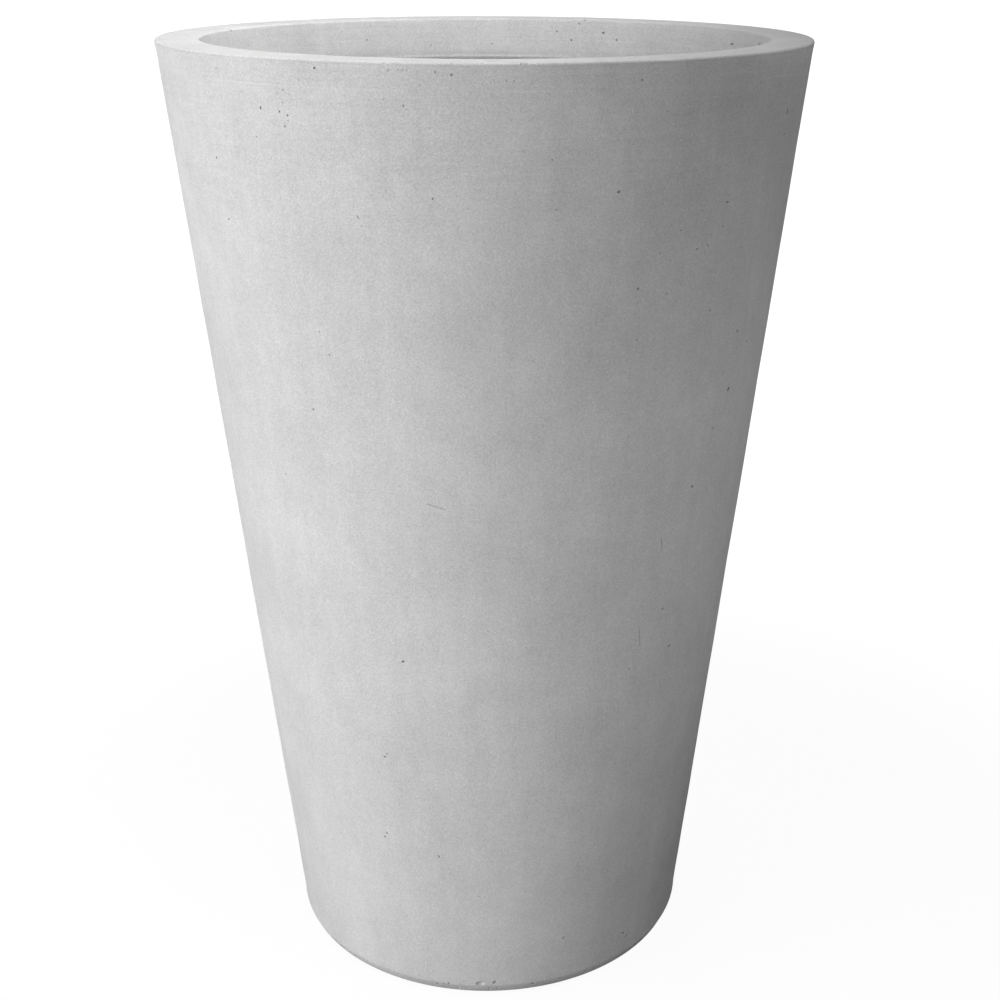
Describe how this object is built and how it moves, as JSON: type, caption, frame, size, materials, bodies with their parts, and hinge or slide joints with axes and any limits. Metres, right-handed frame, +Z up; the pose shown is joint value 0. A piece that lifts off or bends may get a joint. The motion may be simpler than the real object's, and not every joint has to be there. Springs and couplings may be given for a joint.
{
  "type": "flower pot",
  "caption": "Tall round flower pot in grey fibre cement: straight taper, wide flat folded-in rim, a rubber drain plug that lifts out and rubber pads underneath.",
  "frame": {"origin": "on the ground under the middle of the pot", "axes": "+Z up along the pot's axis; X and Y level, with the pads at 45 degrees between them"},
  "size_m": [0.5994, 0.5992, 0.9],
  "materials": {
    "fibre_cement": "cast and lightly polished, matt, with pinholes",
    "plug_rubber": "moulded, matt",
    "pad_rubber": "die-cut, matt"
  },
  "bodies": {
    "pot": {"pot_shell": "fibre_cement", "foot_pad_1": "pad_rubber", "foot_pad_2": "pad_rubber", "foot_pad_3": "pad_rubber", "foot_pad_4": "pad_rubber"},
    "plug": {"drain_plug": "plug_rubber"}
  },
  "joints": [
    {"name": "plug_lift", "type": "slide", "parent": "pot", "child": "plug", "axis": [0, 0, 1], "range_m": [0, 0.92]}
  ]
}
